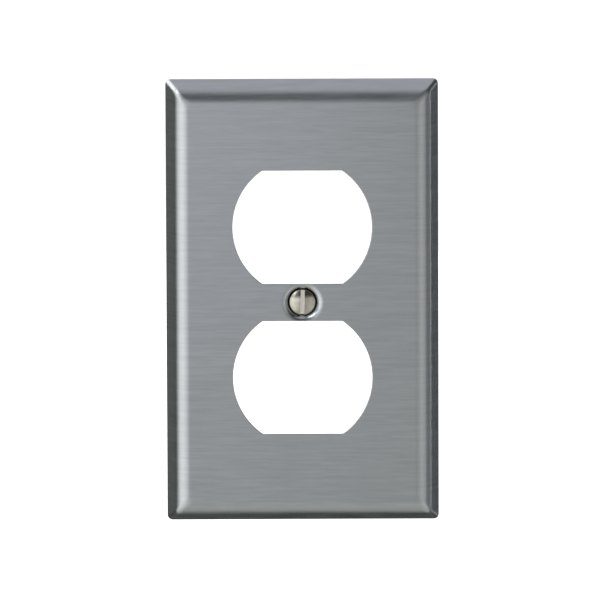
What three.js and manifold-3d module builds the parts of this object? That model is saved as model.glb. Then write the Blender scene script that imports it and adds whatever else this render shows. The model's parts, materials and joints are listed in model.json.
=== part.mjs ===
// A one-gang wall plate for a duplex receptacle: a formed stainless sheet with two
// round openings with flats, its oval-head mounting screw seated in a countersunk
// dimple, and the fibre washer that keeps the screw captive behind the plate.
//
// Millimetres, +Z up. The wall is the plane y = 0, the face looks along -Y, and the
// origin is on the screw's axis in the wall plane.

import * as THREE from 'three';
import { LoftGeometry } from 'three/addons/geometries/LoftGeometry.js';
import { ParametricGeometry } from 'three/addons/geometries/ParametricGeometry.js';
import { mergeVertices } from 'three/addons/utils/BufferGeometryUtils.js';
import Module from 'manifold-3d';

const wasm = await Module();
wasm.setup();

// ---------------------------------------------------------------- driving dimensions

// The formed sheet.
const plateWidth = 69.85;
const plateHeight = 114.3;
const plateDepth = 5.6;
const sheetThickness = 0.8;
const flankAngle = THREE.MathUtils.degToRad(60);
const bendRadius = 4.8;
const cornerRadius = 1.5;
const creaseRadius = 0.7;

// The two receptacle openings, and the bridge of sheet between their flats.
const openingDiameter = 35.7;
const openingSpacing = 38.9;
const bridgeHeight = 9.6;

// The dimple that takes the screw head: how far it reaches past the head all round,
// and the radius of its rolled shoulder.
const dimpleMargin = 2.2;
const shoulderRadius = 2.1;

// The number 6-32 slotted oval-head screw.
const countersinkAngle = THREE.MathUtils.degToRad(82);
const headDiameter = 6.6;
const headLand = 0.15;
const crownHeight = 1.0;
const slotWidth = 1.0;
const slotDepth = 1.35;
const slotTilt = THREE.MathUtils.degToRad(1.5);
const screwLength = 12.7;
const threadMajorDiameter = 3.505;
const threadPitch = 0.79375;
const tipChamfer = 0.5;

// The captive washer.
const washerDiameter = 7.6;
const washerThickness = 0.8;
const captiveTravel = 2.0;

// Clearances.
const seatClearance = 0.3;
const shankClearance = 0.2;
const washerStopClearance = 0.1;
const washerBoreClearance = 0.12;

// How finely curves are divided.
const bendSteps = 8;
const cornerSteps = 5;
const shoulderSteps = 5;
const crownSteps = 7;
const openingArcSteps = 26;
const dimpleSegments = 48;
const headSegments = 48;
const threadSegments = 24;

// How far a cutter runs past the surface that it cuts, and how near two vertices are
// joined.
const overcut = 1;
const weldDistance = 1e-5;

// ------------------------------------------------------------------- derived values

const faceY = -plateDepth;
const openingFlats = openingSpacing - bridgeHeight;
const coneSlope = Math.PI / 2 - countersinkAngle / 2;
const headRadius = headDiameter / 2;
const dimpleRadius = headRadius + dimpleMargin;
const threadMajorRadius = threadMajorDiameter / 2;
const holeRadius = threadMajorRadius + shankClearance;

// A unified thread: 60 degree flanks, a crest flat of p/8 and a root flat of p/4.
const threadCrest = threadPitch / 8;
const threadRoot = threadPitch / 4;
const threadFlank = (threadPitch - threadCrest - threadRoot) / 2;
const threadDepth = threadFlank * Math.sqrt(3);
const threadMinorRadius = threadMajorRadius - threadDepth;

// The seat's cone starts where the shoulder ends and runs down to the hole.
const seatTop = shoulderPoint(0, coneSlope);
const holeEdgeY = seatTop.y + (seatTop.x - holeRadius) * Math.tan(coneSlope);
const dimpleBackY = holeEdgeY + sheetThickness * Math.cos(coneSlope);
const dimpleBackRadius = holeRadius + sheetThickness * Math.sin(coneSlope);

// The head's cone lies parallel to the seat, one seat clearance away.
const seatGapRadial = seatClearance / Math.sin(coneSlope);
const headConeY = seatTop.y + (seatTop.x - seatGapRadial - headRadius) * Math.tan(coneSlope);
const headLandY = headConeY - headLand;
const crownY = headLandY - crownHeight;
const neckY = headConeY + (headRadius - threadMinorRadius) * Math.tan(coneSlope);
const tipY = headConeY + screwLength;

const washerFrontY = dimpleBackY + washerStopClearance + captiveTravel;

// ---------------------------------------------------------------------- solid helpers

// Joins a geometry's vertices and makes it a solid.
function solid(geometry) {
  const bare = new THREE.BufferGeometry().setIndex(geometry.index);
  bare.setAttribute('position', geometry.attributes.position);
  const merged = mergeVertices(bare, weldDistance);
  const corners = merged.index.array;
  const triVerts = [];
  for (let i = 0; i < corners.length; i += 3) {
    const [a, b, c] = [corners[i], corners[i + 1], corners[i + 2]];
    if (a !== b && b !== c && c !== a) triVerts.push(a, b, c);
  }
  const vertProperties = merged.attributes.position.array;
  return new wasm.Manifold(
    new wasm.Mesh({ numProp: 3, vertProperties, triVerts: new Uint32Array(triVerts) }),
  );
}

// Turns a solid back into a flat-shaded geometry.
function geometryOf(body) {
  const { vertProperties, triVerts } = body.getMesh();
  const indexed = new THREE.BufferGeometry();
  indexed.setAttribute('position', new THREE.BufferAttribute(vertProperties, 3));
  indexed.setIndex(new THREE.BufferAttribute(triVerts, 1));
  const flat = indexed.toNonIndexed();
  flat.computeVertexNormals();
  return flat;
}

// A solid of revolution about the screw's axis; each point is (radius, y), and the
// points run towards +Y on the outside.
function turned(points, segments) {
  return solid(new THREE.LatheGeometry(points, segments));
}

// --------------------------------------------------------------------- the face plate

// A point on the bend between flank and face, on the surface that lies `offset` inside
// the outer one: x is the distance in from the rim, y the height above the wall.
function bendPoint(offset, angle) {
  const startHeight = plateDepth - bendRadius * (1 - Math.cos(flankAngle));
  const centreIn = startHeight / Math.tan(flankAngle) + bendRadius * Math.sin(flankAngle);
  const radius = bendRadius - offset;
  return new THREE.Vector2(
    centreIn - radius * Math.sin(angle),
    plateDepth - bendRadius + radius * Math.cos(angle),
  );
}

// A rounded rectangle parallel to the wall, `inset` in from the rim all round and
// `height` above the wall. Its corners sharpen as the inset grows.
function plateSection(inset, height) {
  const radius = Math.max(cornerRadius - inset, creaseRadius);
  const reachX = plateWidth / 2 - inset - radius;
  const reachZ = plateHeight / 2 - inset - radius;
  const points = [];
  for (let corner = 0; corner < 4; corner += 1) {
    const signX = corner === 0 || corner === 3 ? 1 : -1;
    const signZ = corner < 2 ? 1 : -1;
    for (let step = 0; step <= cornerSteps; step += 1) {
      const angle = (corner + step / cornerSteps) * (Math.PI / 2);
      points.push(
        new THREE.Vector3(
          signX * reachX + radius * Math.cos(angle),
          -height,
          signZ * reachZ + radius * Math.sin(angle),
        ),
      );
    }
  }
  return points;
}

// The solid bounded by the surface `offset` inside the plate's outer one, from
// `below` behind the wall plane to the face.
function formedBlock(offset, below) {
  const rimInset = offset / Math.sin(flankAngle);
  const sections = [plateSection(rimInset - below / Math.tan(flankAngle), -below)];
  for (let step = 0; step <= bendSteps; step += 1) {
    const point = bendPoint(offset, flankAngle * (1 - step / bendSteps));
    sections.push(plateSection(point.x, point.y));
  }
  return solid(new LoftGeometry(sections, { capStart: true, capEnd: true }));
}

// A circle with a flat at its top and bottom, cut right through the face.
function openingCutter(centreZ) {
  const radius = openingDiameter / 2;
  const flatAngle = Math.asin(openingFlats / openingDiameter);
  const outline = new THREE.Shape();
  outline.absarc(0, 0, radius, -flatAngle, flatAngle, false);
  outline.absarc(0, 0, radius, Math.PI - flatAngle, Math.PI + flatAngle, false);
  outline.closePath();
  const prism = new THREE.ExtrudeGeometry(outline, {
    depth: plateDepth + overcut,
    bevelEnabled: false,
    curveSegments: openingArcSteps,
  });
  prism.rotateX(Math.PI / 2);
  prism.translate(0, overcut / 2, centreZ);
  return solid(prism);
}

// A point on the dimple's rolled shoulder, `offset` behind the front surface, where
// the surface has turned `angle` down from the face: x is the radius.
function shoulderPoint(offset, angle) {
  const radius = shoulderRadius - offset;
  return new THREE.Vector2(
    dimpleRadius - radius * Math.sin(angle),
    -plateDepth + shoulderRadius - radius * Math.cos(angle),
  );
}

function shoulderArc(offset) {
  return Array.from({ length: shoulderSteps + 1 }, (_, step) =>
    shoulderPoint(offset, (coneSlope * step) / shoulderSteps),
  );
}

// What the dimple's back pushes into the hollow behind the face.
function dimpleBoss() {
  const insideSheetY = faceY + sheetThickness / 2;
  return turned(
    [
      new THREE.Vector2(0, insideSheetY),
      new THREE.Vector2(dimpleRadius, insideSheetY),
      ...shoulderArc(sheetThickness),
      new THREE.Vector2(dimpleBackRadius, dimpleBackY),
      new THREE.Vector2(0, dimpleBackY),
    ],
    dimpleSegments,
  );
}

// The countersink and the clearance hole, cut from the front.
function dimpleCutter() {
  const frontY = faceY - overcut;
  const backY = dimpleBackY + overcut;
  return turned(
    [
      new THREE.Vector2(0, frontY),
      new THREE.Vector2(dimpleRadius, frontY),
      ...shoulderArc(0),
      new THREE.Vector2(holeRadius, holeEdgeY),
      new THREE.Vector2(holeRadius, backY),
      new THREE.Vector2(0, backY),
    ],
    dimpleSegments,
  );
}

function facePlate() {
  const hollow = formedBlock(sheetThickness, overcut).subtract(dimpleBoss());
  return formedBlock(0, 0)
    .subtract(hollow)
    .subtract(dimpleCutter())
    .subtract(openingCutter(openingSpacing / 2))
    .subtract(openingCutter(-openingSpacing / 2));
}

// ------------------------------------------------------------------ the mounting screw

// The crowned head with its land and cone, without the slot.
function screwHead() {
  const crownRadius = (headRadius ** 2 + crownHeight ** 2) / (2 * crownHeight);
  const crownAngle = Math.asin(headRadius / crownRadius);
  const crown = Array.from({ length: crownSteps + 1 }, (_, step) => {
    const angle = (crownAngle * step) / crownSteps;
    return new THREE.Vector2(
      crownRadius * Math.sin(angle),
      crownY + crownRadius * (1 - Math.cos(angle)),
    );
  });
  return turned(
    [
      ...crown,
      new THREE.Vector2(headRadius, headConeY),
      new THREE.Vector2(threadMinorRadius, neckY),
      new THREE.Vector2(0, neckY),
    ],
    headSegments,
  );
}

// The four corners of one thread, as fractions of the pitch and radii.
const threadRows = [
  { along: 0, radius: threadMinorRadius },
  { along: threadRoot / threadPitch, radius: threadMinorRadius },
  { along: (threadRoot + threadFlank) / threadPitch, radius: threadMajorRadius },
  { along: 1 - threadFlank / threadPitch, radius: threadMajorRadius },
];

// A right-hand thread from startY to endY, closed on the axis at both ends.
function threadedRod(startY, endY) {
  const turns = Math.ceil((endY - startY) / threadPitch) + 1;
  const rowCount = turns * threadRows.length;
  const surface = (around, along, target) => {
    const angle = around * 2 * Math.PI;
    const row = Math.round(along * (rowCount + 2)) - 1;
    const onAxis = row < 0 || row > rowCount;
    const corner = threadRows[((row % threadRows.length) + threadRows.length) % threadRows.length];
    const turn = Math.floor(row / threadRows.length) - 1 + around;
    const y = startY + (turn + corner.along) * threadPitch;
    const clampedY = THREE.MathUtils.clamp(y, startY, endY);
    const radius = clampedY === y ? corner.radius : threadMinorRadius;
    target.set(Math.sin(angle), 0, Math.cos(angle)).multiplyScalar(onAxis ? 0 : radius);
    target.y = onAxis ? (row < 0 ? startY : endY) : clampedY;
  };
  return solid(new ParametricGeometry(surface, threadSegments, rowCount + 2));
}

// The round stock that the thread is cut on, with its chamfered tip.
function shankBlank() {
  const radius = threadMajorRadius + overcut;
  const tipRadius = threadMajorRadius - tipChamfer;
  const chamferY = tipY - (radius - tipRadius);
  const startY = neckY - overcut;
  return turned(
    [
      new THREE.Vector2(0, startY),
      new THREE.Vector2(radius, startY),
      new THREE.Vector2(radius, chamferY),
      new THREE.Vector2(tipRadius, tipY),
      new THREE.Vector2(0, tipY),
    ],
    headSegments,
  );
}

function slotCutter() {
  const bar = new THREE.BoxGeometry(slotWidth, slotDepth + overcut, headDiameter + overcut);
  bar.translate(0, crownY + (slotDepth - overcut) / 2, 0);
  bar.rotateY(slotTilt);
  return solid(bar);
}

function mountingScrew() {
  const thread = threadedRod(neckY - overcut / 2, tipY + overcut).intersect(shankBlank());
  return screwHead().add(thread).subtract(slotCutter());
}

// ------------------------------------------------------------------ the captive washer

function screwRetainer() {
  const outer = washerDiameter / 2;
  const inner = threadMajorRadius + washerBoreClearance;
  const backY = washerFrontY + washerThickness;
  return turned(
    [
      new THREE.Vector2(inner, washerFrontY),
      new THREE.Vector2(outer, washerFrontY),
      new THREE.Vector2(outer, backY),
      new THREE.Vector2(inner, backY),
      new THREE.Vector2(inner, washerFrontY),
    ],
    headSegments,
  );
}

// ------------------------------------------------------------------------ the assembly

const brushedSteel = new THREE.MeshStandardMaterial({
  name: 'brushed_stainless_steel',
  color: 0xa6a9ac,
  roughness: 0.38,
  metalness: 1,
});
const nickelPlate = new THREE.MeshStandardMaterial({
  name: 'nickel_plated_steel',
  color: 0xbdb9ab,
  roughness: 0.28,
  metalness: 1,
});
const vulcanisedFibre = new THREE.MeshStandardMaterial({
  name: 'vulcanised_fibre',
  color: 0x5b3a2c,
  roughness: 0.85,
  metalness: 0,
});

// One named mesh of the assembly.
function piece(name, body, material) {
  const mesh = new THREE.Mesh(geometryOf(body), material);
  mesh.name = name;
  return mesh;
}

const wallPlate = new THREE.Group();
wallPlate.name = 'duplex_wall_plate';
wallPlate.add(piece('face_plate', facePlate(), brushedSteel));
wallPlate.add(piece('mounting_screw', mountingScrew(), nickelPlate));
wallPlate.add(piece('screw_retainer', screwRetainer(), vulcanisedFibre));

export default wallPlate;
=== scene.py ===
"""A one-gang wall plate for a duplex receptacle, with its captive screw, in a plain studio.

The pieces are modelled in millimetres on a bench at the origin, then brought to metres. The
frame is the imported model's: the wall is the plane y = 0, the face looks along -Y, +Z is up, and
the origin is on the screw's axis.
"""

import json
import logging
import math
from collections.abc import Callable, Iterator, Sequence
from contextlib import contextmanager
from dataclasses import dataclass
from enum import Enum

import bmesh
import bpy
from mathutils import Euler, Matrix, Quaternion, Vector

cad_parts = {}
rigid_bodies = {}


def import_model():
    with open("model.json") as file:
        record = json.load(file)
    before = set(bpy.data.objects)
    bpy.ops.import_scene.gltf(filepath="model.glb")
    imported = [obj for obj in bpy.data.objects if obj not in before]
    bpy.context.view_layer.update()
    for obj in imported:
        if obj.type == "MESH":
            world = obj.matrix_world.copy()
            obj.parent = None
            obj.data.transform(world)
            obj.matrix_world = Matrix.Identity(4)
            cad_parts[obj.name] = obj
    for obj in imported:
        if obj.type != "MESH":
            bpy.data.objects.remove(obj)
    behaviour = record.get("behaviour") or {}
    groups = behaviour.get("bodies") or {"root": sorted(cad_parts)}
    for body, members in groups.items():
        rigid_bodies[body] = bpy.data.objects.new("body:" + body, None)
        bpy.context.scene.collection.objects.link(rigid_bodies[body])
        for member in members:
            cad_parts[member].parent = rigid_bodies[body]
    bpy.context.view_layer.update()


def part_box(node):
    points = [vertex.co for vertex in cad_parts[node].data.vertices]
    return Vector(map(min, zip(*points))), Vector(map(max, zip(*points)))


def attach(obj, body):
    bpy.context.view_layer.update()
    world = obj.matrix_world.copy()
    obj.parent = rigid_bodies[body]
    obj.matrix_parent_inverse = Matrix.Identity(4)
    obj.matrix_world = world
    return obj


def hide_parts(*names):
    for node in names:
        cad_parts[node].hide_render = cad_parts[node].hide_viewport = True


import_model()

log = logging.getLogger("wall_plate")

MM = 0.001
# Points closer than this are one point.
WELD_MM = 0.0005
# How near a point is to a plane or line that it is meant to lie on.
NEAR_MM = 0.01
# The least share of a unit normal along an axis that it points straight along.
STRAIGHT = 0.9999
# The bevel profile that is an arc of a circle.
ARC = 0.5
# How strongly a large face sets the shading of its corners; 50 is even.
NORMAL_WEIGHT = 60
# What an area light of one square metre needs to look as bright as plain white.
WATTS_PER_AREA = math.pi

Point = tuple[float, float]
Colour = tuple[float, float, float, float]


# ------------------------------------------------------------------------------ the bench


class Part(Enum):
    """What an edit-mode selection picks."""

    EDGE = "edges"
    FACE = "faces"


class Cut(Enum):
    """How one solid works on another."""

    TAKE_AWAY = "DIFFERENCE"
    JOIN = "UNION"
    KEEP_INSIDE = "INTERSECT"


def activate(piece: bpy.types.Object) -> None:
    """Makes one object the only selected and the active one.

    Args:
        piece: The object to work on.
    """
    for other in bpy.context.view_layer.objects.selected:
        other.select_set(False)
    piece.select_set(True)
    bpy.context.view_layer.objects.active = piece


def clear_bench() -> None:
    """Leaves nothing selected, so that a new primitive is the only thing picked."""
    bpy.ops.object.select_all(action="DESELECT")


@contextmanager
def editing(piece: bpy.types.Object) -> Iterator[None]:
    """Opens one object in edit mode with nothing selected, and closes it again.

    Args:
        piece: The object to edit.
    """
    activate(piece)
    bpy.ops.object.mode_set(mode="EDIT")
    bpy.ops.mesh.select_mode(type="VERT")
    bpy.ops.mesh.select_all(action="DESELECT")
    yield
    bpy.ops.object.mode_set(mode="OBJECT")


def pick(piece: bpy.types.Object, part: Part, test: Callable[..., bool]) -> None:
    """Selects what a test picks of an object in edit mode, and nothing else.

    Args:
        piece: The object in edit mode.
        part: Whether the test reads edges or faces.
        test: Returns True for what is to be selected.
    """
    bpy.ops.mesh.select_mode(type=part.name)
    bpy.ops.mesh.select_all(action="DESELECT")
    mesh = bmesh.from_edit_mesh(piece.data)
    mesh.normal_update()
    for item in getattr(mesh, part.value):
        if test(item):
            item.select_set(True)
    bmesh.update_edit_mesh(piece.data, loop_triangles=False, destructive=False)


def settle(piece: bpy.types.Object) -> None:
    """Applies an object's place, turn and size to its mesh.

    Args:
        piece: The object to settle.
    """
    activate(piece)
    bpy.ops.object.transform_apply(location=True, rotation=True, scale=True)


def apply_modifier(piece: bpy.types.Object, kind: str, **settings: object) -> None:
    """Adds a modifier with its settings and applies it.

    Args:
        piece: The object to change.
        kind: The modifier's type.
        **settings: The modifier's properties.
    """
    activate(piece)
    modifier = piece.modifiers.new(kind.lower(), kind)
    for name, value in settings.items():
        setattr(modifier, name, value)
    bpy.ops.object.modifier_apply(modifier=modifier.name)


def cut(piece: bpy.types.Object, tool: bpy.types.Object, how: Cut) -> None:
    """Works one solid on another and throws the tool away.

    Args:
        piece: The solid that stays.
        tool: The solid that is used up.
        how: Whether the tool takes away, joins or keeps what is inside it.
    """
    apply_modifier(piece, "BOOLEAN", object=tool, operation=how.value, solver="EXACT")
    bpy.data.objects.remove(tool, do_unlink=True)
    with editing(piece):
        bpy.ops.mesh.select_all(action="SELECT")
        bpy.ops.mesh.remove_doubles(threshold=WELD_MM)
        bpy.ops.mesh.dissolve_degenerate(threshold=WELD_MM)


def drawn(name: str, points: Sequence[Point]) -> bpy.types.Object:
    """Draws an open line of points in the half plane z = 0, one vertex after another.

    Args:
        name: The new object's name.
        points: (x, y) of each point, in millimetres.

    Returns:
        An object that holds the line.
    """
    clear_bench()
    bpy.ops.mesh.primitive_plane_add(size=1.0, location=(*points[0], 0.0))
    line = bpy.context.active_object
    line.name = name
    settle(line)
    with editing(line):
        bpy.ops.mesh.select_all(action="SELECT")
        bpy.ops.mesh.merge(type="CENTER")
        for here, there in zip(points, points[1:]):
            step = (there[0] - here[0], there[1] - here[1], 0.0)
            bpy.ops.mesh.extrude_region()
            bpy.ops.transform.translate(value=step)
    return line


def turned(name: str, profile: Sequence[Point], segments: int) -> bpy.types.Object:
    """Spins a profile about the screw's axis into a closed solid.

    Args:
        name: The new object's name.
        profile: (radius, y) of each point, in millimetres, closed or ending on the axis.
        segments: How many steps go round.

    Returns:
        The solid.
    """
    solid = drawn(name, profile)
    with editing(solid):
        bpy.ops.mesh.select_all(action="SELECT")
        bpy.ops.mesh.spin(
            steps=segments, angle=2 * math.pi, center=(0.0, 0.0, 0.0), axis=(0.0, 1.0, 0.0)
        )
        bpy.ops.mesh.select_all(action="SELECT")
        bpy.ops.mesh.remove_doubles(threshold=WELD_MM)
        bpy.ops.mesh.dissolve_degenerate(threshold=WELD_MM)
        bpy.ops.mesh.select_all(action="SELECT")
        bpy.ops.mesh.normals_make_consistent(inside=False)
    return solid


def box(name: str, low: Sequence[float], high: Sequence[float]) -> bpy.types.Object:
    """Adds a plain block to shape or to cut with.

    Args:
        name: The new object's name.
        low: Its lowest corner, in millimetres.
        high: Its highest corner, in millimetres.

    Returns:
        The block.
    """
    clear_bench()
    centre = [(a + b) / 2 for a, b in zip(low, high)]
    bpy.ops.mesh.primitive_cube_add(size=1.0, location=centre)
    block = bpy.context.active_object
    block.name = name
    block.scale = [b - a for a, b in zip(low, high)]
    settle(block)
    return block


def dress(piece: bpy.types.Object, material: bpy.types.Material) -> None:
    """Gives a piece its one material.

    Args:
        piece: The finished solid.
        material: What it is covered with.
    """
    piece.data.materials.clear()
    piece.data.materials.append(material)


def finish_piece(piece: bpy.types.Object, smooth_angle_deg: float) -> None:
    """Brings a piece from the bench's millimetres to metres and shades it.

    Args:
        piece: The finished solid.
        smooth_angle_deg: Edges sharper than this stay sharp.
    """
    piece.scale = (MM, MM, MM)
    settle(piece)
    activate(piece)
    bpy.ops.object.shade_smooth_by_angle(angle=math.radians(smooth_angle_deg))
    apply_modifier(piece, "WEIGHTED_NORMAL", keep_sharp=True, weight=NORMAL_WEIGHT)


# ------------------------------------------------------------------------------ materials


def srgb(code: str) -> Colour:
    """Turns a colour's sRGB hex code into linear light.

    Args:
        code: Six hex digits, such as "9c9fa3".

    Returns:
        Red, green, blue and alpha for a shader socket.
    """
    channels = [int(code[i : i + 2], 16) / 255 for i in (0, 2, 4)]
    linear = [c / 12.92 if c <= 0.04045 else ((c + 0.055) / 1.055) ** 2.4 for c in channels]
    return (linear[0], linear[1], linear[2], 1.0)


def add_node(
    tree: bpy.types.NodeTree, kind: str, inputs: dict | None = None, **settings: object
) -> bpy.types.Node:
    """Adds a shader node with its settings, values and links.

    Args:
        tree: The node tree to add to.
        kind: The node's type.
        inputs: Socket name or number to a value, or to an output socket to link.
        **settings: The node's own properties.

    Returns:
        The node.
    """
    node = tree.nodes.new(kind)
    for name, value in settings.items():
        setattr(node, name, value)
    for name, value in (inputs or {}).items():
        if isinstance(value, bpy.types.NodeSocket):
            tree.links.new(value, node.inputs[name])
        else:
            node.inputs[name].default_value = value
    return node


def new_material(name: str) -> tuple[bpy.types.Material, bpy.types.NodeTree]:
    """Makes an empty node material.

    Args:
        name: The finish's common name.

    Returns:
        The material and its node tree, with no nodes in it.
    """
    material = bpy.data.materials.new(name)
    material.use_nodes = True
    material.node_tree.nodes.clear()
    return material, material.node_tree


@dataclass(frozen=True)
class BrushedStainless:
    """Brushed stainless steel sheet, ground with a fine belt along the plate's width.

    The grinding lines run along X, so a reflection is drawn out across them, up and down, and
    stays crisp from side to side. The punch that forms the dimple polishes the lines away there.
    """

    name: str = "brushed_stainless_steel"
    line_light: str = "cbcecf"
    line_dark: str = "bbbfc0"
    roughness: float = 0.344
    roughness_spread: float = 0.03
    anisotropy: float = 0.72
    # A belt line is about 0.05 mm wide; it is drawn coarser, so that it shows at this size.
    line_pitch_mm: float = 0.6
    line_length_mm: float = 9.0
    band_pitch_mm: float = 1.6
    band_length_mm: float = 34.0
    band_share: float = 0.3
    # The part of a noise's 0 to 1 that it really fills; it is stretched from this.
    noise_low: float = 0.36
    noise_high: float = 0.64
    bump_depth_mm: float = 0.004
    bump_strength: float = 0.5
    polish_radius_mm: float = 5.2
    polish_edge_mm: float = 1.6
    polished_roughness: float = 0.20

    def make(self) -> bpy.types.Material:
        """Builds the material.

        Returns:
            The finished material.
        """
        material, tree = new_material(self.name)
        place = add_node(tree, "ShaderNodeTexCoord").outputs["Object"]
        lines = self._streaks(tree, place, self.line_pitch_mm, self.line_length_mm)
        bands = self._streaks(tree, place, self.band_pitch_mm, self.band_length_mm)
        both = add_node(
            tree,
            "ShaderNodeMix",
            {"Factor": self.band_share, "A": lines, "B": bands},
            data_type="FLOAT",
        ).outputs["Result"]
        colour = add_node(
            tree,
            "ShaderNodeMix",
            {"Factor": both, "A": srgb(self.line_dark), "B": srgb(self.line_light)},
            data_type="RGBA",
        ).outputs["Result"]
        ground = add_node(
            tree,
            "ShaderNodeMapRange",
            {
                "Value": both,
                "To Min": self.roughness - self.roughness_spread,
                "To Max": self.roughness + self.roughness_spread,
            },
        ).outputs["Result"]
        polish = self._polish(tree, place)
        roughness = add_node(
            tree,
            "ShaderNodeMix",
            {"Factor": polish, "A": ground, "B": self.polished_roughness},
            data_type="FLOAT",
        ).outputs["Result"]
        bump = add_node(
            tree,
            "ShaderNodeBump",
            {
                "Strength": self.bump_strength,
                "Distance": self.bump_depth_mm * MM,
                "Height": lines,
            },
        ).outputs["Normal"]
        across = add_node(
            tree,
            "ShaderNodeVectorTransform",
            {"Vector": (0.0, 0.0, 1.0)},
            vector_type="VECTOR",
            convert_from="OBJECT",
            convert_to="WORLD",
        ).outputs["Vector"]
        shader = add_node(
            tree,
            "ShaderNodeBsdfPrincipled",
            {
                "Base Color": colour,
                "Metallic": 1.0,
                "Roughness": roughness,
                "Anisotropic": self.anisotropy,
                "Normal": bump,
                "Tangent": across,
            },
        )
        add_node(tree, "ShaderNodeOutputMaterial", {"Surface": shader.outputs["BSDF"]})
        return material

    def _streaks(
        self, tree: bpy.types.NodeTree, place: bpy.types.NodeSocket, pitch: float, length: float
    ) -> bpy.types.NodeSocket:
        """Makes a noise drawn out along the width.

        Args:
            tree: The material's node tree.
            place: The coordinates to read.
            pitch: How far apart the streaks are, in millimetres.
            length: How long they are, in millimetres.

        Returns:
            The noise, from 0 to 1.
        """
        along = 1 / (length * MM)
        across = 1 / (pitch * MM)
        mapped = add_node(
            tree, "ShaderNodeMapping", {"Vector": place, "Scale": (along, along, across)}
        ).outputs["Vector"]
        noise = add_node(
            tree,
            "ShaderNodeTexNoise",
            {"Vector": mapped, "Scale": 1.0, "Detail": 4.0, "Roughness": 0.6},
        ).outputs["Fac"]
        return add_node(
            tree,
            "ShaderNodeMapRange",
            {"Value": noise, "From Min": self.noise_low, "From Max": self.noise_high},
        ).outputs["Result"]

    def _polish(
        self, tree: bpy.types.NodeTree, place: bpy.types.NodeSocket
    ) -> bpy.types.NodeSocket:
        """Finds the dimple, where the punch has polished the steel.

        Args:
            tree: The material's node tree.
            place: The coordinates to read.

        Returns:
            1 inside the dimple, falling to 0 on the face around it.
        """
        flat = add_node(
            tree, "ShaderNodeVectorMath", {0: place, 1: (1.0, 0.0, 1.0)}, operation="MULTIPLY"
        ).outputs["Vector"]
        radius = add_node(
            tree, "ShaderNodeVectorMath", {0: flat}, operation="LENGTH"
        ).outputs["Value"]
        return add_node(
            tree,
            "ShaderNodeMapRange",
            {
                "Value": radius,
                "From Min": (self.polish_radius_mm - self.polish_edge_mm) * MM,
                "From Max": self.polish_radius_mm * MM,
                "To Min": 1.0,
                "To Max": 0.0,
            },
            interpolation_type="SMOOTHSTEP",
        ).outputs["Result"]


@dataclass(frozen=True)
class PlatedSteel:
    """Cold-headed steel with a satin nickel plate.

    The plating gives a warm, soft shine, a little cloudy, with fine scuffs from handling. Its
    slot is painted near white, a painted highlight for the light that the slot's floor catches.
    """

    name: str = "nickel_plated_steel"
    nickel: str = "cbc7bb"
    cloud: str = "bdb9aa"
    roughness: float = 0.25
    roughness_spread: float = 0.06
    # Near white: a painted highlight for the light that the slot's floor catches.
    slot_painted_highlight: str = "fcf8ea"
    # A little wider than half the slot, so that its walls are inside.
    slot_half_width_mm: float = 0.53
    slot_tilt_deg: float = 1.5
    cloud_size_mm: float = 1.3
    scuff_size_mm: float = 0.18
    bump_depth_mm: float = 0.006
    bump_strength: float = 0.4

    def make(self) -> bpy.types.Material:
        """Builds the material.

        Returns:
            The finished material.
        """
        material, tree = new_material(self.name)
        place = add_node(tree, "ShaderNodeTexCoord").outputs["Object"]
        clouds = add_node(
            tree,
            "ShaderNodeTexNoise",
            {"Vector": place, "Scale": 1 / (self.cloud_size_mm * MM), "Detail": 3.0},
        ).outputs["Fac"]
        scuffs = add_node(
            tree,
            "ShaderNodeTexNoise",
            {"Vector": place, "Scale": 1 / (self.scuff_size_mm * MM), "Detail": 2.0},
        ).outputs["Fac"]
        colour = add_node(
            tree,
            "ShaderNodeMix",
            {"Factor": clouds, "A": srgb(self.cloud), "B": srgb(self.nickel)},
            data_type="RGBA",
        ).outputs["Result"]
        # Paints a highlight into the slot: near white there, for the light that its floor
        # catches.
        colour = add_node(
            tree,
            "ShaderNodeMix",
            {"Factor": self._slot_highlight_mask(tree, place), "A": colour, "B": srgb(self.slot_painted_highlight)},
            data_type="RGBA",
        ).outputs["Result"]
        roughness = add_node(
            tree,
            "ShaderNodeMapRange",
            {
                "Value": clouds,
                "To Min": self.roughness + self.roughness_spread,
                "To Max": self.roughness - self.roughness_spread,
            },
        ).outputs["Result"]
        bump = add_node(
            tree,
            "ShaderNodeBump",
            {
                "Strength": self.bump_strength,
                "Distance": self.bump_depth_mm * MM,
                "Height": scuffs,
            },
        ).outputs["Normal"]
        shader = add_node(
            tree,
            "ShaderNodeBsdfPrincipled",
            {"Base Color": colour, "Metallic": 1.0, "Roughness": roughness, "Normal": bump},
        )
        add_node(tree, "ShaderNodeOutputMaterial", {"Surface": shader.outputs["BSDF"]})
        return material

    def _slot_highlight_mask(
        self, tree: bpy.types.NodeTree, place: bpy.types.NodeSocket
    ) -> bpy.types.NodeSocket:
        """Finds the slot across the head, where a highlight is painted.

        Args:
            tree: The material's node tree.
            place: The coordinates to read.

        Returns:
            1 in the slot and 0 outside it.
        """
        squared = add_node(
            tree,
            "ShaderNodeMapping",
            {"Vector": place, "Rotation": (0.0, -math.radians(self.slot_tilt_deg), 0.0)},
        ).outputs["Vector"]
        across = add_node(tree, "ShaderNodeSeparateXYZ", {"Vector": squared}).outputs["X"]
        return add_node(
            tree,
            "ShaderNodeMath",
            {0: across, 1: 0.0, 2: self.slot_half_width_mm * MM},
            operation="COMPARE",
        ).outputs["Value"]


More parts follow.
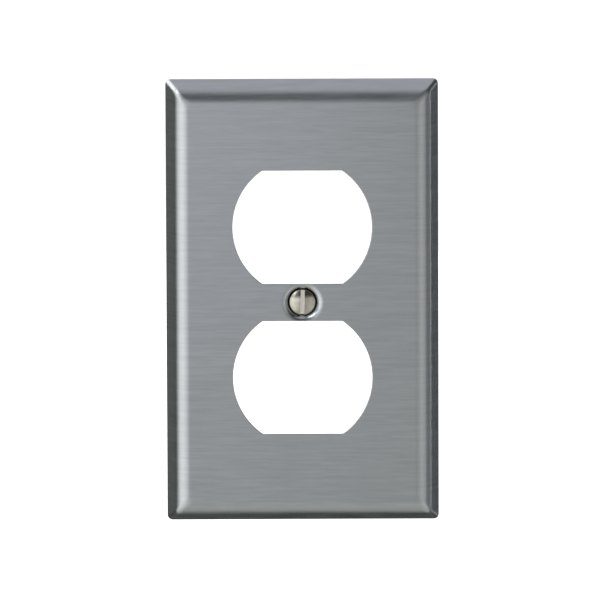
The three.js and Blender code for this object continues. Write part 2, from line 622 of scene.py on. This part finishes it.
@dataclass(frozen=True)
class VulcanisedFibre:
    """Vulcanised fibre, punched from pressed sheet.

    It is dull and dense, with the paper's fibres faint in it.
    """

    name: str = "vulcanised_fibre"
    dark: str = "3c2018"
    light: str = "84523f"
    roughness: float = 0.78
    # The paper's fibres are about 0.03 mm thick; they are drawn coarser, so that they show.
    fibre_width_mm: float = 0.28
    fibre_length_mm: float = 1.5
    # The part of a noise's 0 to 1 that it really fills; it is stretched from this.
    noise_low: float = 0.34
    noise_high: float = 0.66
    bump_depth_mm: float = 0.012
    bump_strength: float = 0.6

    def make(self) -> bpy.types.Material:
        """Builds the material.

        Returns:
            The finished material.
        """
        material, tree = new_material(self.name)
        place = add_node(tree, "ShaderNodeTexCoord").outputs["Object"]
        long = 1 / (self.fibre_length_mm * MM)
        fine = 1 / (self.fibre_width_mm * MM)
        mapped = add_node(
            tree, "ShaderNodeMapping", {"Vector": place, "Scale": (long, fine, fine)}
        ).outputs["Vector"]
        noise = add_node(
            tree, "ShaderNodeTexNoise", {"Vector": mapped, "Scale": 1.0, "Detail": 3.0}
        ).outputs["Fac"]
        fibres = add_node(
            tree,
            "ShaderNodeMapRange",
            {"Value": noise, "From Min": self.noise_low, "From Max": self.noise_high},
        ).outputs["Result"]
        colour = add_node(
            tree,
            "ShaderNodeMix",
            {"Factor": fibres, "A": srgb(self.dark), "B": srgb(self.light)},
            data_type="RGBA",
        ).outputs["Result"]
        bump = add_node(
            tree,
            "ShaderNodeBump",
            {
                "Strength": self.bump_strength,
                "Distance": self.bump_depth_mm * MM,
                "Height": fibres,
            },
        ).outputs["Normal"]
        shader = add_node(
            tree,
            "ShaderNodeBsdfPrincipled",
            {"Base Color": colour, "Roughness": self.roughness, "Normal": bump},
        )
        add_node(tree, "ShaderNodeOutputMaterial", {"Surface": shader.outputs["BSDF"]})
        return material


# --------------------------------------------------------------------------- the assembly


def faces_front(face: bmesh.types.BMFace) -> bool:
    """Picks a face that looks straight out of the wall."""
    return face.normal.y < -STRAIGHT


def faces_back(face: bmesh.types.BMFace) -> bool:
    """Picks a face that looks straight into the wall."""
    return face.normal.y > STRAIGHT


@dataclass(frozen=True)
class Countersink:
    """The seat that the plate and the screw share, as sizes in millimetres.

    Lengths along the axis are y in the frame, so the face is at a negative y.
    """

    face_y: float
    head_radius: float
    cone_angle: float = math.radians(82)
    dimple_margin: float = 2.2
    shoulder_radius: float = 2.1
    hole_radius: float = 1.9525
    seat_clearance: float = 0.3

    @property
    def slope(self) -> float:
        """How steeply the cone leaves the face, in radians."""
        return math.pi / 2 - self.cone_angle / 2

    @property
    def dimple_radius(self) -> float:
        """Where the shoulder leaves the flat face."""
        return self.head_radius + self.dimple_margin

    def shoulder(self, offset: float, angle: float) -> Point:
        """Finds a point on the rolled shoulder.

        Args:
            offset: How far behind the front surface, in millimetres.
            angle: How far the surface has turned down from the face.

        Returns:
            Its radius and y.
        """
        radius = self.shoulder_radius - offset
        return (
            self.dimple_radius - radius * math.sin(angle),
            self.face_y + self.shoulder_radius - radius * math.cos(angle),
        )

    def shoulder_arc(self, offset: float, steps: int) -> list[Point]:
        """Divides the shoulder into points, from the face down to the cone."""
        return [self.shoulder(offset, self.slope * i / steps) for i in range(steps + 1)]

    @property
    def hole_edge_y(self) -> float:
        """Where the cone meets the clearance hole."""
        top = self.shoulder(0.0, self.slope)
        return top[1] + (top[0] - self.hole_radius) * math.tan(self.slope)

    @property
    def head_cone_y(self) -> float:
        """Where the screw head's land meets its cone."""
        top = self.shoulder(0.0, self.slope)
        gap = self.seat_clearance / math.sin(self.slope)
        return top[1] + (top[0] - gap - self.head_radius) * math.tan(self.slope)


@dataclass
class FacePlate:
    """The formed sheet: sloped sides, two openings with flats and a countersunk dimple."""

    seat: Countersink
    finish: BrushedStainless
    width: float
    height: float
    depth: float
    node: str = "face_plate"
    sheet: float = 0.8
    flank_angle: float = math.radians(60)
    bend_radius: float = 4.8
    crease: float = 1.1
    opening_radius: float = 17.85
    opening_spacing: float = 38.9
    bridge: float = 9.6
    least_crease: float = 0.3
    face_border: float = 0.4
    rolled_edge: float = 0.16
    sheared_edge: float = 0.1
    # Sharper than any bend, so that only a punched edge is found.
    punched_angle: float = math.radians(70)
    smooth_angle_deg: float = 35
    bend_segments: int = 14
    crease_segments: int = 6
    shoulder_steps: int = 12
    dimple_segments: int = 96
    opening_segments: int = 144
    overcut: float = 1.0

    def build(self) -> bpy.types.Object:
        """Models the plate.

        Returns:
            The finished piece.
        """
        plate = self._formed_block("brushed_face_plate", 0.0, 0.0)
        self._soften_back_edge(plate)
        hollow = self._formed_block("hollow", self.sheet, self.overcut)
        cut(hollow, self._dimple_boss(), Cut.TAKE_AWAY)
        cut(plate, hollow, Cut.TAKE_AWAY)
        for side in (1, -1):
            cut(plate, self._opening_tool(side * self.opening_spacing / 2), Cut.TAKE_AWAY)
        self._roll_opening_edges(plate)
        cut(plate, self._dimple_tool(), Cut.TAKE_AWAY)
        finish_piece(plate, self.smooth_angle_deg)
        dress(plate, self.finish.make())
        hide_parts(self.node)
        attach(plate, "plate")
        return plate

    def _formed_block(self, name: str, offset: float, below: float) -> bpy.types.Object:
        """Models the block bounded by a surface parallel to the plate's outer one.

        Args:
            name: The new object's name.
            offset: How far inside the outer surface, in millimetres.
            below: How far the block runs on behind the wall plane.

        Returns:
            The block, with its bends and creases rounded.
        """
        rim = offset / math.sin(self.flank_angle) - below / math.tan(self.flank_angle)
        half_width = self.width / 2 - rim
        half_height = self.height / 2 - rim
        front = self.depth - offset
        narrowing = (front + below) / math.tan(self.flank_angle)
        block = box(
            name, (-half_width, -front, -half_height), (half_width, below, half_height)
        )
        radius = self.bend_radius - offset
        crease = max(self.crease - offset, self.least_crease)
        with editing(block):
            pick(block, Part.FACE, faces_front)
            bpy.ops.transform.resize(
                value=(1 - narrowing / half_width, 1.0, 1 - narrowing / half_height),
                center_override=(0.0, -front, 0.0),
            )
            pick(
                block, Part.EDGE, lambda edge: all(v.co.y < NEAR_MM - front for v in edge.verts)
            )
            bpy.ops.mesh.bevel(
                offset=radius * math.tan(self.flank_angle / 2),
                segments=self.bend_segments,
                profile=ARC,
                affect="EDGES",
                clamp_overlap=True,
            )
            pick(block, Part.EDGE, lambda edge: self._on_mitre(edge, half_width, half_height))
            bpy.ops.mesh.bevel(
                offset=crease,
                segments=self.crease_segments,
                profile=ARC,
                affect="EDGES",
                clamp_overlap=True,
            )
            pick(block, Part.FACE, faces_front)
            bpy.ops.mesh.inset(thickness=self.face_border)
        return block

    def _on_mitre(self, edge: bmesh.types.BMEdge, half_width: float, half_height: float) -> bool:
        """Tells whether an edge runs up one of the four corners.

        Args:
            edge: An edge of the block.
            half_width: Half the block's width at its back.
            half_height: Half the block's height at its back.

        Returns:
            True for the corner's mitre line, from the back up to the face.
        """
        insets = [(half_width - abs(v.co.x), half_height - abs(v.co.z)) for v in edge.verts]
        level = abs(edge.verts[0].co.y - edge.verts[1].co.y) < WELD_MM
        return not level and all(abs(across - up) < NEAR_MM for across, up in insets)

    def _dimple_boss(self) -> bpy.types.Object:
        """Models what the dimple's back pushes into the hollow behind the face."""
        seat = self.seat
        inside_sheet = seat.face_y + self.sheet / 2
        back_y = seat.hole_edge_y + self.sheet * math.cos(seat.slope)
        back_radius = seat.hole_radius + self.sheet * math.sin(seat.slope)
        profile = [
            (0.0, inside_sheet),
            (seat.dimple_radius, inside_sheet),
            *seat.shoulder_arc(self.sheet, self.shoulder_steps),
            (back_radius, back_y),
            (0.0, back_y),
        ]
        return turned("dimple_boss", profile, self.dimple_segments)

    def _dimple_tool(self) -> bpy.types.Object:
        """Models the punch that forms the countersink and the clearance hole."""
        seat = self.seat
        front_y = seat.face_y - self.overcut
        through_y = seat.hole_edge_y + self.sheet + self.overcut
        profile = [
            (0.0, front_y),
            (seat.dimple_radius, front_y),
            *seat.shoulder_arc(0.0, self.shoulder_steps),
            (seat.hole_radius, seat.hole_edge_y),
            (seat.hole_radius, through_y),
            (0.0, through_y),
        ]
        return turned("dimple_tool", profile, self.dimple_segments)

    def _opening_tool(self, centre_z: float) -> bpy.types.Object:
        """Models the punch for one opening: a round bar with two flats.

        Args:
            centre_z: The opening's centre above the screw, in millimetres.

        Returns:
            The punch.
        """
        clear_bench()
        bpy.ops.mesh.primitive_cylinder_add(
            vertices=self.opening_segments,
            radius=self.opening_radius,
            depth=self.depth + self.overcut,
            location=(0.0, -(self.depth + self.overcut) / 2 - self.overcut / 2, centre_z),
            rotation=(math.pi / 2, 0.0, 0.0),
        )
        punch = bpy.context.active_object
        settle(punch)
        flat = (self.opening_spacing - self.bridge) / 2
        with editing(punch):
            for side in (1, -1):
                bpy.ops.mesh.select_all(action="SELECT")
                bpy.ops.mesh.bisect(
                    plane_co=(0.0, 0.0, centre_z + side * flat),
                    plane_no=(0.0, 0.0, side),
                    use_fill=True,
                    clear_outer=True,
                )
        return punch

    def _soften_back_edge(self, plate: bpy.types.Object) -> None:
        """Takes the sharpness off the sheared edge that rests on the wall.

        Args:
            plate: The solid block, before it is hollowed.
        """
        with editing(plate):
            pick(plate, Part.FACE, faces_back)
            bpy.ops.mesh.bevel(
                offset=self.sheared_edge, segments=2, profile=ARC, affect="EDGES"
            )

    def _roll_opening_edges(self, plate: bpy.types.Object) -> None:
        """Rounds the front edges of the openings, as the punch draws them in.

        Args:
            plate: The plate with its openings cut.
        """
        reach = self.opening_spacing / 2 + self.opening_radius

        def is_cut_edge(edge: bmesh.types.BMEdge) -> bool:
            """Picks an edge where the front face meets an opening's wall."""
            if not all(v.co.y < NEAR_MM - self.depth for v in edge.verts):
                return False
            inside = all(abs(v.co.z) < reach for v in edge.verts)
            return inside and edge.calc_face_angle(0.0) > self.punched_angle

        with editing(plate):
            pick(plate, Part.EDGE, is_cut_edge)
            bpy.ops.mesh.bevel(
                offset=self.rolled_edge, segments=3, profile=ARC, affect="EDGES"
            )


@dataclass
class MountingScrew:
    """The slotted oval-head screw: crown, land, cone, slot and a rolled thread."""

    seat: Countersink
    finish: PlatedSteel
    node: str = "mounting_screw"
    land: float = 0.15
    crown: float = 1.0
    slot_width: float = 1.0
    slot_depth: float = 1.35
    slot_tilt: float = math.radians(1.5)
    length: float = 12.7
    thread_radius: float = 1.7525
    pitch: float = 0.79375
    tip_chamfer: float = 0.5
    hidden_start: float = 0.6
    foot_depth: float = 0.1
    broken_edge: float = 0.05
    broken_angle: float = math.radians(35)
    smooth_angle_deg: float = 32
    crown_steps: int = 14
    segments: int = 96
    thread_steps: int = 48
    overcut: float = 1.0

    @property
    def root_radius(self) -> float:
        """The radius at the bottom of the thread: 60 degree flanks, five eighths deep."""
        return self.thread_radius - self.pitch * 5 / 16 * math.sqrt(3)

    @property
    def neck_y(self) -> float:
        """Where the head's cone reaches the thread's root."""
        drop = (self.seat.head_radius - self.root_radius) * math.tan(self.seat.slope)
        return self.seat.head_cone_y + drop

    @property
    def tip_y(self) -> float:
        """The screw's end."""
        return self.seat.head_cone_y + self.length

    @property
    def crown_y(self) -> float:
        """The top of the crown."""
        return self.seat.head_cone_y - self.land - self.crown

    def build(self) -> bpy.types.Object:
        """Models the screw.

        Returns:
            The finished piece.
        """
        screw = self._head()
        cut(screw, self._slot_tool(), Cut.TAKE_AWAY)
        apply_modifier(
            screw,
            "BEVEL",
            width=self.broken_edge,
            segments=2,
            limit_method="ANGLE",
            angle_limit=self.broken_angle,
        )
        cut(screw, self._thread(), Cut.JOIN)
        finish_piece(screw, self.smooth_angle_deg)
        dress(screw, self.finish.make())
        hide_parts(self.node)
        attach(screw, "screw")
        return screw

    def _head(self) -> bpy.types.Object:
        """Models the crowned head with its land and cone."""
        head_radius = self.seat.head_radius
        dome = (head_radius**2 + self.crown**2) / (2 * self.crown)
        sweep = math.asin(head_radius / dome)
        angles = [sweep * i / self.crown_steps for i in range(self.crown_steps + 1)]
        profile = [
            *((dome * math.sin(a), self.crown_y + dome * (1 - math.cos(a))) for a in angles),
            (head_radius, self.seat.head_cone_y),
            (self.root_radius, self.neck_y),
            (0.0, self.neck_y),
        ]
        return turned("oval_head_screw", profile, self.segments)

    def _slot_tool(self) -> bpy.types.Object:
        """Models the saw that cuts the slot, turned as the screw came to rest."""
        reach = self.seat.head_radius + self.overcut
        saw = box(
            "slot_saw",
            (-self.slot_width / 2, self.crown_y - self.overcut, -reach),
            (self.slot_width / 2, self.crown_y + self.slot_depth, reach),
        )
        saw.rotation_euler = Euler((0.0, self.slot_tilt, 0.0))
        settle(saw)
        return saw

    def _thread(self) -> bpy.types.Object:
        """Models the shank: a core with a helical ridge, trimmed to its chamfered tip."""
        start = self.neck_y - self.hidden_start
        foot = self.root_radius - self.foot_depth
        half_crest = self.pitch / 16
        half_foot = half_crest + (self.thread_radius - foot) / math.sqrt(3)
        section = [
            (foot, start - half_foot),
            (self.thread_radius, start - half_crest),
            (self.thread_radius, start + half_crest),
            (foot, start + half_foot),
            (foot, start - half_foot),
        ]
        ridge = drawn("thread_ridge", section)
        with editing(ridge):
            bpy.ops.mesh.select_all(action="SELECT")
            bpy.ops.mesh.remove_doubles(threshold=WELD_MM)
        apply_modifier(
            ridge,
            "SCREW",
            axis="Y",
            angle=2 * math.pi,
            screw_offset=self.pitch,
            iterations=math.ceil((self.tip_y - start) / self.pitch) + 1,
            steps=self.thread_steps,
            render_steps=self.thread_steps,
        )
        with editing(ridge):
            bpy.ops.mesh.select_all(action="SELECT")
            bpy.ops.mesh.fill_holes(sides=len(section))
            bpy.ops.mesh.select_all(action="SELECT")
            bpy.ops.mesh.normals_make_consistent(inside=False)
        reach = self.thread_radius + self.overcut
        core = [
            (0.0, start),
            (self.root_radius, start),
            (self.root_radius, self.tip_y + self.overcut),
            (0.0, self.tip_y + self.overcut),
        ]
        blank = [
            (0.0, start - self.overcut),
            (reach, start - self.overcut),
            (reach, self.tip_y - self.tip_chamfer - self.overcut),
            (self.thread_radius - self.tip_chamfer, self.tip_y),
            (0.0, self.tip_y),
        ]
        cut(ridge, turned("thread_core", core, self.segments), Cut.JOIN)
        cut(ridge, turned("thread_blank", blank, self.segments), Cut.KEEP_INSIDE)
        return ridge


@dataclass
class ScrewRetainer:
    """The fibre washer that grips the thread and keeps the screw in the plate."""

    seat: Countersink
    finish: VulcanisedFibre
    sheet: float
    node: str = "screw_retainer"
    outer_radius: float = 3.8
    bore_radius: float = 1.8725
    thickness: float = 0.8
    travel: float = 2.0
    stop_clearance: float = 0.1
    punched_edge: float = 0.14
    punched_angle: float = math.radians(40)
    smooth_angle_deg: float = 40
    segments: int = 72

    def build(self) -> bpy.types.Object:
        """Models the washer.

        Returns:
            The finished piece.
        """
        dimple_back_y = self.seat.hole_edge_y + self.sheet * math.cos(self.seat.slope)
        front_y = dimple_back_y + self.stop_clearance + self.travel
        back_y = front_y + self.thickness
        section = [
            (self.bore_radius, front_y),
            (self.outer_radius, front_y),
            (self.outer_radius, back_y),
            (self.bore_radius, back_y),
            (self.bore_radius, front_y),
        ]
        washer = turned("captive_washer", section, self.segments)
        apply_modifier(
            washer,
            "BEVEL",
            width=self.punched_edge,
            segments=3,
            limit_method="ANGLE",
            angle_limit=self.punched_angle,
        )
        finish_piece(washer, self.smooth_angle_deg)
        dress(washer, self.finish.make())
        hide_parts(self.node)
        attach(washer, "retainer")
        return washer


# ----------------------------------------------------------------------------- the studio


def direction(azimuth_deg: float, elevation_deg: float) -> Vector:
    """Points from the plate into the room.

    Args:
        azimuth_deg: Degrees to the right of straight in front.
        elevation_deg: Degrees up; past 90 it leans back over the wall.

    Returns:
        A unit vector.
    """
    azimuth, elevation = math.radians(azimuth_deg), math.radians(elevation_deg)
    level = math.cos(elevation)
    return Vector((level * math.sin(azimuth), -level * math.cos(azimuth), math.sin(elevation)))


def facing(away: Vector) -> Quaternion:
    """Turns a light or the camera to the plate, upright, from a place in the room."""
    return away.to_track_quat("Z", "Y")


@dataclass(frozen=True)
class Softbox:
    """One soft light, aimed at the plate and out of the camera's sight.

    Where it hangs and how wide it looks from the plate are in degrees, its distance in metres,
    and its brightness is a share of plain white.
    """

    name: str
    azimuth: float
    elevation: float
    wide: float
    tall: float
    brightness: float
    distance: float = 1.4
    tint: str = "ffffff"

    def build(self) -> bpy.types.Object:
        """Hangs the light.

        Returns:
            The light.
        """
        clear_bench()
        away = direction(self.azimuth, self.elevation)
        bpy.ops.object.light_add(type="AREA", location=away * self.distance)
        light = bpy.context.active_object
        light.name = self.name
        light.rotation_euler = facing(away).to_euler()
        light.data.shape = "RECTANGLE"
        light.data.size = self._metres(self.wide)
        light.data.size_y = self._metres(self.tall)
        light.data.color = srgb(self.tint)[:3]
        area = light.data.size * light.data.size_y
        light.data.energy = self.brightness * area * WATTS_PER_AREA
        light.visible_camera = False
        return light

    def _metres(self, angle_deg: float) -> float:
        """Turns the angle that one side fills into its length."""
        return 2 * self.distance * math.tan(math.radians(angle_deg / 2))


@dataclass
class Studio:
    """A plain pale floor, soft lights and a long lens in front of the plate."""

    # Each has its azimuth, elevation, width, height and brightness. The face sees the front
    # panel, the bends see the low, left and right ones, and the top sees the overhead one. The
    # key draws the bright crease and the crescent in the dimple, and the back panel lights the
    # hollow.
    lights: Sequence[Softbox] = (
        Softbox("front_panel", 15, -13, 102, 62, 0.435),
        Softbox("low_panel", 5, -68, 98, 46, 0.55, tint="fdfffa"),
        Softbox("left_softbox_rim", -49, -18, 74, 64, 0.28),
        Softbox("left_softbox", -53, -13, 54, 58, 0.36),
        Softbox("left_softbox_heart", -56, -6, 32, 46, 0.58),
        Softbox("key_softbox", -80, 38, 64, 20, 2.3),
        Softbox("key_front_wing", -55, 51, 17, 16, 2.9),
        Softbox("key_rear_wing", -119, 48, 16, 30, 3.1),
        Softbox("overhead_panel", 0, 98, 60, 66, 0.64, tint="f4f6ff"),
        Softbox("right_front_strip", 42, -10, 40, 60, 0.08),
        Softbox("right_front_heart", 44, -10, 16, 60, 0.13),
        Softbox("right_panel", 85, -11, 46, 56, 0.205),
        Softbox("right_strip", 110, -4, 2.4, 70, 2.25, tint="eef2ff"),
        Softbox("left_rear_wall", -122, -10, 34, 44, 0.066),
        Softbox("upper_left_card", -26, 10, 56, 26, 0.49, distance=0.32, tint="dfe8ff"),
        Softbox("back_panel", 180, 2, 82, 72, 0.66, distance=1.8),
    )
    dim_room: float = 0.042
    white_dome: float = 1.1
    floor_drop: float = 0.25
    floor_size: float = 24.0
    view_elevation: float = 8.5
    view_distance: float = 3.0
    view_width: float = 0.1539
    aim: tuple[float, float] = (-0.00062, -0.00015)
    roll_deg: float = 0.22
    clip: tuple[float, float] = (0.1, 100.0)

    def build(self) -> None:
        """Sets up the floor, the room, the lights and the camera."""
        self._floor()
        self._room()
        for light in self.lights:
            light.build()
        self._camera()
        bpy.context.scene.view_settings.view_transform = "Standard"

    def _floor(self) -> None:
        """Lays the floor, well below the plate."""
        clear_bench()
        bpy.ops.mesh.primitive_plane_add(
            size=self.floor_size, location=(0.0, 0.0, -self.floor_drop)
        )
        floor = bpy.context.active_object
        floor.name = "studio_floor"
        floor.visible_glossy = False
        # Matt white paint, rolled on: even and without a shine.
        material, tree = new_material("matt_white_paint")
        paint = add_node(
            tree, "ShaderNodeBsdfDiffuse", {"Color": srgb("f9f9f9"), "Roughness": 0.4}
        )
        add_node(tree, "ShaderNodeOutputMaterial", {"Surface": paint.outputs["BSDF"]})
        floor.data.materials.append(material)

    def _room(self) -> None:
        """Makes the room white to look at, and dim in a reflection, as black flags make it."""
        world = bpy.data.worlds.new("studio_room")
        world.use_nodes = True
        tree = world.node_tree
        tree.nodes.clear()
        path = add_node(tree, "ShaderNodeLightPath")
        strength = add_node(
            tree,
            "ShaderNodeMix",
            {
                "Factor": path.outputs["Is Glossy Ray"],
                "A": self.white_dome,
                "B": self.dim_room,
            },
            data_type="FLOAT",
        ).outputs["Result"]
        dome = add_node(
            tree, "ShaderNodeBackground", {"Color": srgb("ffffff"), "Strength": strength}
        )
        add_node(tree, "ShaderNodeOutputWorld", {"Surface": dome.outputs["Background"]})
        bpy.context.scene.world = world

    def _camera(self) -> None:
        """Sets the long lens in front of the plate, a little above it."""
        clear_bench()
        away = direction(0.0, self.view_elevation)
        turn = facing(away)
        side, up = turn @ Vector((1, 0, 0)), turn @ Vector((0, 1, 0))
        target = side * self.aim[0] + up * self.aim[1]
        bpy.ops.object.camera_add(location=target + away * self.view_distance)
        camera = bpy.context.active_object
        camera.name = "camera"
        turn.rotate(Quaternion(away, -math.radians(self.roll_deg)))
        camera.rotation_euler = turn.to_euler()
        camera.data.lens = camera.data.sensor_width * self.view_distance / self.view_width
        camera.data.clip_start, camera.data.clip_end = self.clip
        bpy.context.scene.camera = camera


# ------------------------------------------------------------------------------- the work


def extent_mm(node: str) -> tuple[Vector, Vector]:
    """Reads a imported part's lowest and highest corner.

    Args:
        node: The part's name.

    Returns:
        The two corners, in millimetres.
    """
    low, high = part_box(node)
    return low / MM, high / MM


def main() -> None:
    """Builds the pieces and the studio in order and reports each."""
    logging.basicConfig(level=logging.INFO, format="%(name)s: %(message)s")
    low, high = extent_mm("face_plate")
    screw_low, screw_high = extent_mm("mounting_screw")
    seat = Countersink(face_y=low.y, head_radius=screw_high.x)
    plate = FacePlate(
        seat,
        BrushedStainless(),
        width=high.x - low.x,
        height=high.z - low.z,
        depth=high.y - low.y,
    )
    screw = MountingScrew(seat, PlatedSteel())
    retainer = ScrewRetainer(seat, VulcanisedFibre(), plate.sheet)
    for part in (plate, screw, retainer):
        piece = part.build()
        log.info("%s: %d faces, replaces %s", piece.name, len(piece.data.polygons), part.node)
    Studio().build()
    log.info("studio: set")


if __name__ == "__main__":
    main()
